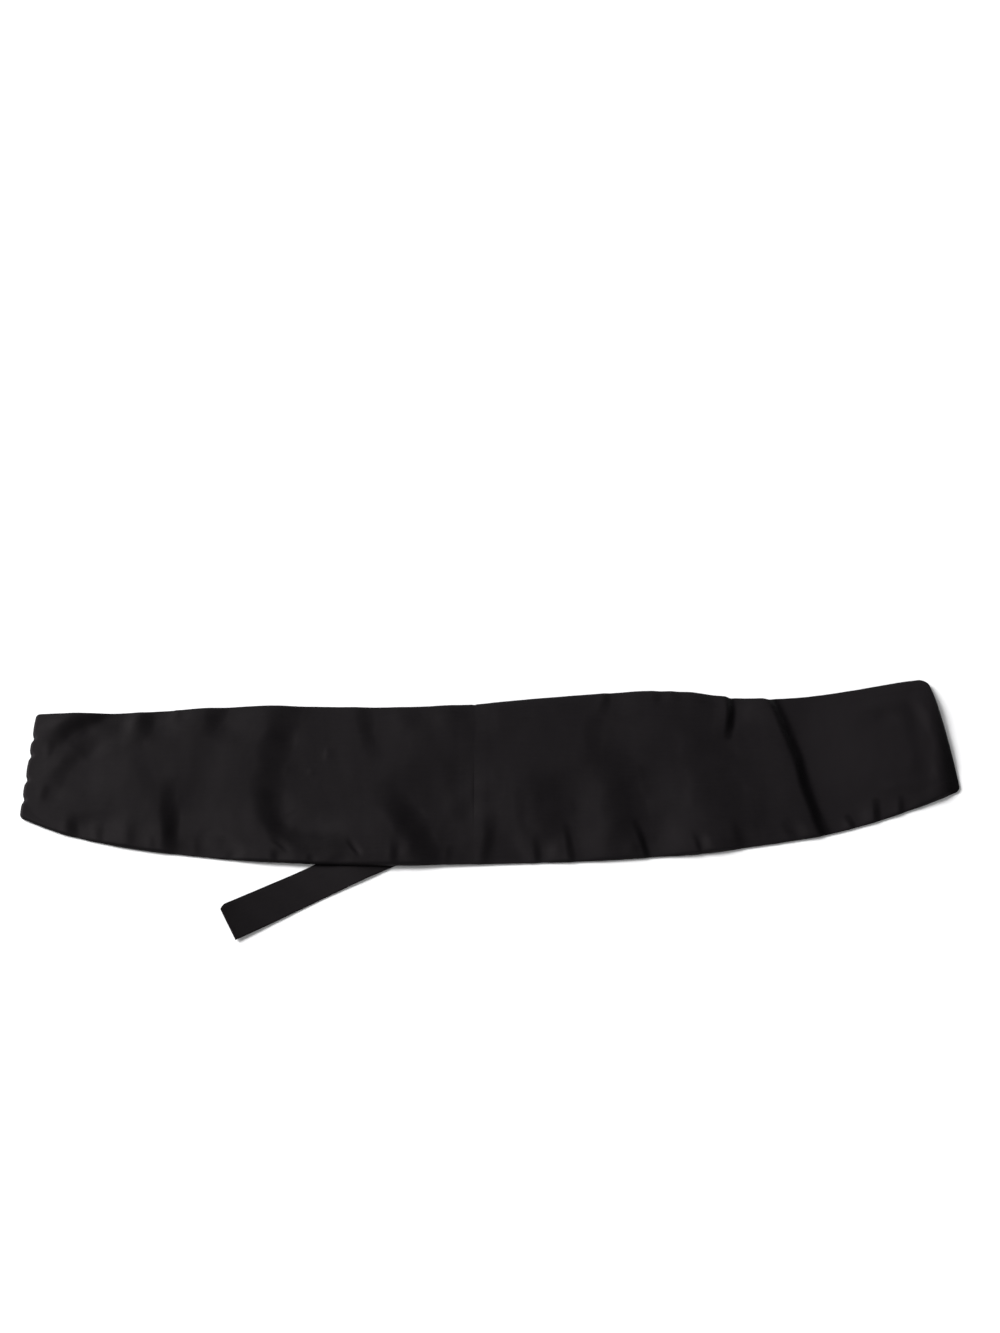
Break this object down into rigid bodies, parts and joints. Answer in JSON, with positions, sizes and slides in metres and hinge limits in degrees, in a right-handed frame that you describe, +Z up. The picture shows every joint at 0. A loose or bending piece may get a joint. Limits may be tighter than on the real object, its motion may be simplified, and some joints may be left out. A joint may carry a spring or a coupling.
{
  "type": "cummerbund",
  "caption": "Plain black satin cummerbund laid flat: crescent panel with a centre seam, ties folded under it, one tie end showing past the lower edge.",
  "frame": {"origin": "middle of the laid-out object's outline box, on the surface it lies on", "axes": "+X along the panel from its left end to its right end as it lies, +Y across it towards the upper, straighter edge, +Z up, out of the face"},
  "size_m": [0.6362, 0.1964, 0.0077],
  "materials": {
    "face_satin": "black satin with a soft, low sheen, slightly creased",
    "back_satin": "plain black lining cloth, matt",
    "tie_satin": "black satin folded and pressed flat, low sheen"
  },
  "bodies": {
    "root": {"face_left": "face_satin", "face_right": "face_satin", "back": "back_satin", "tie_right": "tie_satin", "tie_left": "tie_satin"}
  },
  "joints": []
}
